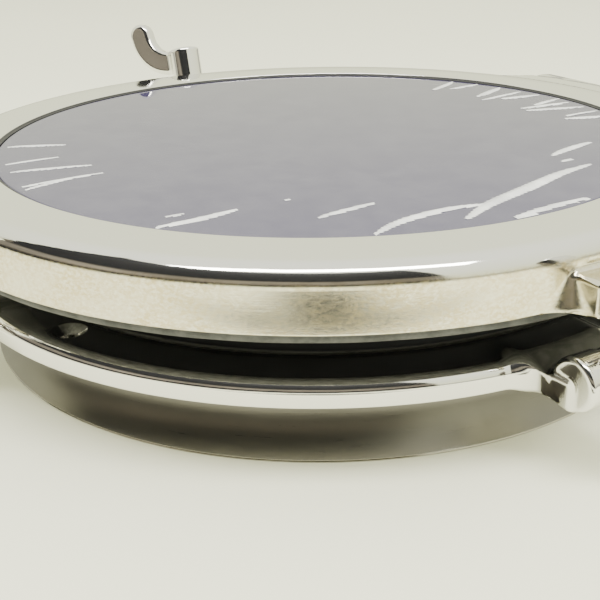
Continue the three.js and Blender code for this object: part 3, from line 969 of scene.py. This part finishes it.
def make_film():
    """Film laid on the glass: a disc of small squares, raised where air lies under it."""
    count = int(FILM_R / FILM_CELL)
    line = np.arange(-count, count + 1) * FILM_CELL
    x, y = np.meshgrid(line, line, indexing="ij")
    inside = np.hypot(x, y) <= FILM_R
    number = np.full(x.shape, -1)
    number[inside] = np.arange(inside.sum())
    p = np.stack([x[inside], y[inside]], -1)
    rim = np.hypot(p[:, 0], p[:, 1])
    edge = rim > FILM_R - 1.5 * FILM_CELL
    p[edge] *= (FILM_R / rim[edge])[:, None]
    ridge = film_wrinkles(p)
    sag = 0.02 * np.sin(p[:, 0] * 0.11) * np.sin(p[:, 1] * 0.09 + 1)
    film_height = GLASS_TOP + 0.07
    vertices = np.concatenate([p, (film_height + sag + ridge)[:, None]], 1)
    corners = [number[:-1, :-1], number[1:, :-1], number[1:, 1:], number[:-1, 1:]]
    squares = np.stack(corners, -1).reshape(-1, 4)
    faces = squares[(squares >= 0).all(1)]
    clear, cloudy = clear_film("clear_film", False), clear_film("lifted_film", True)
    film = add_piece("film_sheet", vertices, faces, clear, "door", ["protective_film"], "clear_film")
    film.data.materials.append(cloudy)
    lifted = (ridge[faces].max(1) > LIFTED).astype(np.int32)
    film.data.polygons.foreach_set("material_index", lifted)


# ---- dogs and hinge


def dog_matrix(name):
    """From a dog's own frame, +Z along its bolt from the pivot, to its place."""
    return on_ring(AZIMUTHS[name]) @ Matrix.Translation((PIVOT_R, 0, PIVOT_Z)) @ turn("Y", LEAN)


def along_curve(p, line):
    """How far each point lies to the side of a line in X and Z, past its end, and before its start."""
    along = np.gradient(line, axis=0)
    along /= np.linalg.norm(along, axis=-1)[:, None]
    offset = np.stack([p[..., 0], p[..., 2]], -1)[..., None, :] - line
    near = (offset**2).sum(-1).argmin(-1)
    at = np.take_along_axis(offset, near[..., None, None], -2)[..., 0, :]
    way = along[near]
    u = (at * way).sum(-1)
    v = at[..., 1] * way[..., 0] - at[..., 0] * way[..., 1]
    past = np.where((near == len(line) - 1) & (u > 0), u, 0)
    before = np.where((near == 0) & (u < 0), u, 0)
    return v, past, before


def lever_field(p):
    """The nut's hub and its curled, flat-sided finger lever along +X."""
    reach = np.array([5.2, 10, 16, 21, 24.5, 26.0])
    rise = np.array([-2.2, -1.8, 0.4, 4.6, 10.4, 17.0]) + HUB_TOP - LEVER_DROP
    t = np.linspace(0, len(reach) - 1, 60)
    line = np.stack([smooth_curve(reach, t), smooth_curve(rise, t)], -1)
    v, past, before = along_curve(p, line)
    half_height, half_width, corner = 6.2, 3.9, 2.4
    out = np.sqrt(v**2 + past**2 + before**2) - half_height
    q = np.stack([out, np.abs(p[..., 1]) - half_width], -1) + corner
    lever = rounded_corner(q, corner)
    across = from_axis(p)
    middle, tall = (HUB_BOTTOM + HUB_TOP) / 2, (HUB_TOP - HUB_BOTTOM) / 2
    edge = np.where(p[..., 2] > middle, 1.8, 0.7)
    q = np.stack([across - (HUB_R - edge), np.abs(p[..., 2] - middle) - (tall - edge)], -1)
    hub = rounded_corner(q, edge)
    return carve(merge(hub, lever, fillet=2.6), across - (BOLT_R + 0.35), fillet=0.8)


def smooth_curve(values, t):
    """Catmull-Rom curve through values at whole numbers."""
    ends = np.concatenate([[2 * values[0] - values[1]], values, [2 * values[-1] - values[-2]]])
    i = np.minimum(t.astype(int), len(values) - 2)
    f = t - i
    a, b, c, d = (ends[i + k] for k in range(4))
    return 0.5 * (2 * b + (c - a) * f + (2 * a - 5 * b + 4 * c - d) * f**2 + (3 * b - a - 3 * c + d) * f**3)


def threaded_shank(bottom, thread_start, top):
    """Shank with a helical thread on its upper part and a domed end."""
    sides, per_turn, dome, thread_depth = 40, 10, 0.6, 0.62
    rows = int((top - thread_start) / THREAD_PITCH * per_turn)
    heights = [bottom, thread_start - 0.8, *np.linspace(thread_start, top - dome, rows)]
    vertices = []
    for z in heights:
        a = np.arange(sides) * 2 * math.pi / sides
        phase = ((z - thread_start) / THREAD_PITCH - a / (2 * math.pi)) % 1
        depth = np.abs(phase - 0.5) * 2
        fade = np.clip((z - thread_start) / 1.5, 0, 1) * np.clip((top - z) / 1.2, 0, 1)
        r = BOLT_R - 0.02 - thread_depth * np.clip(depth * 1.3 - 0.15, 0, 1) * fade
        vertices.append(np.stack([r * np.cos(a), r * np.sin(a), np.full(sides, z)], -1))
    for k in range(1, 4):
        r = (BOLT_R - 0.1) * math.cos(k * math.pi / 8)
        z = top - dome + dome * math.sin(k * math.pi / 6)
        vertices.append(np.stack([r * np.cos(a), r * np.sin(a), np.full(sides, z)], -1))
    rings = len(vertices)
    faces = [f[::-1] for f in loop_faces(rings, sides, closed_rings=False)]
    faces.append(tuple(range(sides))[::-1])
    faces.append(tuple((rings - 1) * sides + k for k in range(sides)))
    return np.vstack(vertices), faces


def eye_field(p):
    """A bolt's eye, bored for its pin, with the start of the shank."""
    neck_top, pin_room = 14, 0.2
    eye = capped_field(p, (0, -EYE_HALF, 0), (0, EYE_HALF, 0), axis=1, r=EYE_R, edge=1.0)
    neck = np.maximum(from_axis(p) - BOLT_R, np.maximum(-p[..., 2], p[..., 2] - neck_top))
    bore = np.hypot(p[..., 0], p[..., 2]) - DOG_PIN_R - pin_room
    return carve(merge(eye, neck, fillet=5), bore, fillet=0.5)


def pin_outline(r, half):
    """Pin with chamfered ends and a shallow groove near each end for its clip."""
    chamfer = groove = 0.5
    one = [(r - chamfer, half), (r, half - chamfer)]
    one += [(r, half - 1.4), (r - groove, half - 1.5), (r - groove, half - 2.1), (r, half - 2.2)]
    other = [(x, -z) for x, z in one][::-1]
    return [(0, -half), *other, *one[::-1], (0, half)]


def steel_piece(name, shape, body, node):
    """A small polished part."""
    return add_piece(name, *shape, STEEL, body, [node], "polished_steel")


def make_dogs():
    eye = net(eye_field, *EYE_SPACE, EYE_CELL)
    shank = threaded_shank(10, 15, BOLT_TOP)
    nut = net(lever_field, *NUT_SPACE, FINE)
    washer = flat_washer(BOLT_R + GAP, HUB_R, WASHER_BOTTOM, WASHER_TOP, 0.2, 0.3)
    pin = solid_of_revolution(pin_outline(DOG_PIN_R, EYE_HALF + GAP + EAR_T + 0.1), 40)
    for name in DOGS:
        place = dog_matrix(name)
        lever = turn("Z", LEVER_DEGREES[name])
        pivot = on_ring(AZIMUTHS[name]) @ Matrix.Translation((PIVOT_R, 0, PIVOT_Z)) @ turn("X", 90)
        bolt = steel_piece(f"swing_bolt_{name}", moved(shank, place), f"{name}_bolt", f"dog_bolt_{name}")
        cut_or_join(bolt, [moved(eye, place)], "UNION")
        smooth(bolt, 35)
        steel_piece(f"finger_nut_{name}", moved(nut, place @ lever), f"{name}_nut", f"dog_nut_{name}")
        steel_piece(f"thrust_washer_{name}", moved(washer, place), f"{name}_washer", f"dog_washer_{name}")
        steel_piece(f"pivot_pin_{name}", moved(pin, pivot), "frame", f"dog_pin_{name}")


def make_hinge():
    place = Matrix.Translation((0, HINGE_Y, HINGE_Z)) @ turn("Y", 90)
    end = TAB_HALF + 1.5
    head = TAB_HALF + GAP
    outline = [
        (0, -end),
        (HINGE_PIN_R - 0.7, -end),
        (HINGE_PIN_R, -end + 0.7),
        (HINGE_PIN_R, head),
        (5.6, head),
        (6, head + 0.4),
        (6, head + 1.0),
        (5.2, head + 1.7),
        (3.2, head + 2),
        (0, head + 2),
    ]
    steel_piece("hinge_rod", moved(solid_of_revolution(outline), place), "frame", "hinge_pin")
    half = (KNUCKLE_IN - EAR_OUT) / 2 - 0.25
    for side, label in ((-1, "left"), (1, "right")):
        middle = (EAR_OUT + KNUCKLE_IN) / 2 * side
        ring = flat_washer(HINGE_PIN_R + 0.2, HINGE_R - 0.5, middle - half, middle + half, 0.1, 0.2)
        node = f"hinge_washer_{label}"
        add_piece(f"bearing_{label}", *moved(ring, place), acetal(), "door", [node], "acetal")


# ---- build

STEEL = polished_steel()
STEEL_DOOR = polished_steel("polished_door_steel", stained=True)
STEEL_FRAME = polished_steel("polished_frame_steel", shaded_coaming=True)

make_frame_casting()
make_door_casting()
make_trim()
make_gasket()
make_glazing()
make_film()
make_dogs()
make_hinge()

# ---- studio


def flat_square(name, half):
    """The mesh and object of a square card in the XY plane."""
    mesh = bpy.data.meshes.new(name)
    corners = [(-half, -half, 0), (half, -half, 0), (half, half, 0), (-half, half, 0)]
    mesh.from_pydata(corners, [], [(0, 1, 2, 3)])
    return mesh, new_object(name, mesh)


def make_floor():
    """Pale cream floor, 24 m across so that no view shows its edge near the part."""
    mesh, floor = flat_square("floor", 12.0)
    material, nodes, shader, place = new_material("floor")
    grain = nodes.noise(place, 900, 4, 0.6)
    cloud = nodes.noise(place, 2.5, 3)
    cream, pale_cream = (0.85, 0.85, 0.68, 1), (0.90, 0.895, 0.74, 1)
    nodes.put(shader.inputs["Base Color"], nodes.blend(cloud, cream, pale_cream))
    nodes.put(shader.inputs["Roughness"], 0.7)
    nodes.put(shader.inputs["Normal"], nodes.bump(grain, 0.03, 0.0005))
    mesh.materials.append(material)


def area_light(name, place, target, size, power, mirrored=True):
    """Soft warm white panel. One that isn't mirrored lights the scene and shows in no reflection."""
    data = bpy.data.lights.new(name, "AREA")
    data.shape = "RECTANGLE"
    data.size, data.size_y = size
    data.energy = power
    data.color = (1, 0.99, 0.93)
    light = new_object(name, data)
    place = Vector(place)
    aim = (Vector(target) - place).to_track_quat("-Z", "Y").to_matrix().to_4x4()
    light.matrix_world = Matrix.Translation(place) @ aim
    light.visible_glossy = mirrored


def make_world():
    """Cream room: dim at the horizon, bright overhead."""
    world = bpy.data.worlds.new("world")
    bpy.context.scene.world = world
    world.use_nodes = True
    nodes = Nodes(world.node_tree)
    place = nodes.add("ShaderNodeTexCoord").outputs["Generated"]
    height = nodes.add("ShaderNodeSeparateXYZ", {"Vector": place}).outputs["Z"]
    horizon, wall, ceiling = (0.30, 0.29, 0.26, 1), (0.87, 0.885, 0.62, 1), (1.0, 1.01, 0.87, 1)
    upper = nodes.blend(nodes.ramp(height, 0.15, 0.9), wall, ceiling)
    colour = nodes.blend(nodes.ramp(height, 0.03, 0.16), horizon, upper)
    background = nodes.add("ShaderNodeBackground", {"Color": colour, "Strength": 1.85})
    output = nodes.add("ShaderNodeOutputWorld")
    nodes.put(output.inputs["Surface"], background)


def reflected_only(piece):
    """Hides a studio card from all but reflections, as a photographer's flag works."""
    piece.visible_camera = False
    piece.visible_diffuse = False
    piece.visible_shadow = False


def make_flag(name, azimuth, distance, width, low, high):
    """Dark curved card on one side, with a patchy paler strip across it. Its width is in degrees."""
    mesh = bpy.data.meshes.new(name)
    steps = 24
    vertices, faces = [], []
    for i in range(steps + 1):
        a = math.radians(azimuth + width * (i / steps - 0.5))
        vertices += [(distance * math.cos(a), distance * math.sin(a), z) for z in (low, high)]
    for i in range(steps):
        faces.append((2 * i, 2 * i + 2, 2 * i + 3, 2 * i + 1))
    mesh.from_pydata(vertices, [], faces)
    flag = new_object(name, mesh)
    material, nodes, shader, place = new_material(name)
    height = nodes.add("ShaderNodeSeparateXYZ", {"Vector": place}).outputs["Z"]
    strip = nodes.math("MULTIPLY", nodes.ramp(height, 0.14, 0.20), nodes.ramp(height, 0.36, 0.29))
    patches = nodes.ramp(nodes.noise(place, 5, 3), 0.25, 0.75, 0.3, 1.0)
    strip = nodes.math("MULTIPLY", strip, patches)
    cloud = nodes.noise(place, 3, 3)
    darkest, dark, pale = (0.004, 0.004, 0.007, 1), (0.008, 0.008, 0.014, 1), (0.27, 0.235, 0.22, 1)
    nodes.put(shader.inputs["Base Color"], nodes.blend(strip, nodes.blend(cloud, darkest, dark), pale))
    nodes.put(shader.inputs["Roughness"], 1.0)
    mesh.materials.append(material)
    reflected_only(flag)


def make_shade(name, distance, half_x, half_y):
    """Soft dark patch close above the floor, where the photographer's shadow falls."""
    mesh, shade = flat_square(name, 1)
    a = math.radians(CAMERA_AZIMUTH)
    above_floor = 0.004
    spot = Matrix.Translation((distance * math.cos(a), distance * math.sin(a), above_floor))
    shade.matrix_world = spot @ turn("Z", CAMERA_AZIMUTH) @ Matrix.Diagonal((half_x, half_y, 1, 1))
    material, nodes, shader, place = new_material(name)
    reach = nodes.add("ShaderNodeVectorMath", {0: place}, operation="LENGTH").outputs["Value"]
    cloud = nodes.noise(place, 2, 3)
    dark, less_dark = (0.025, 0.023, 0.020, 1), (0.05, 0.047, 0.04, 1)
    nodes.put(shader.inputs["Base Color"], nodes.blend(cloud, dark, less_dark))
    nodes.put(shader.inputs["Roughness"], 1.0)
    nodes.put(shader.inputs["Alpha"], nodes.ramp(reach, 1.0, 0.3))
    mesh.materials.append(material)
    reflected_only(shade)


make_floor()
make_world()
area_light("ceiling", place=(0.42, -0.24, 1.5), target=(0, 0, 0), size=(1.6, 0.3), power=34)
area_light("window", place=(0.85, 0.55, 0.85), target=(0, 0, 0.05), size=(0.9, 0.3), power=8, mirrored=False)
make_flag("dark_side", azimuth=-62, distance=0.75, width=120, low=0.06, high=1.25)
make_shade("camera_shade", distance=0.315, half_x=0.10, half_y=0.085)
make_shade("hand_shade", distance=0.265, half_x=0.03, half_y=0.17)
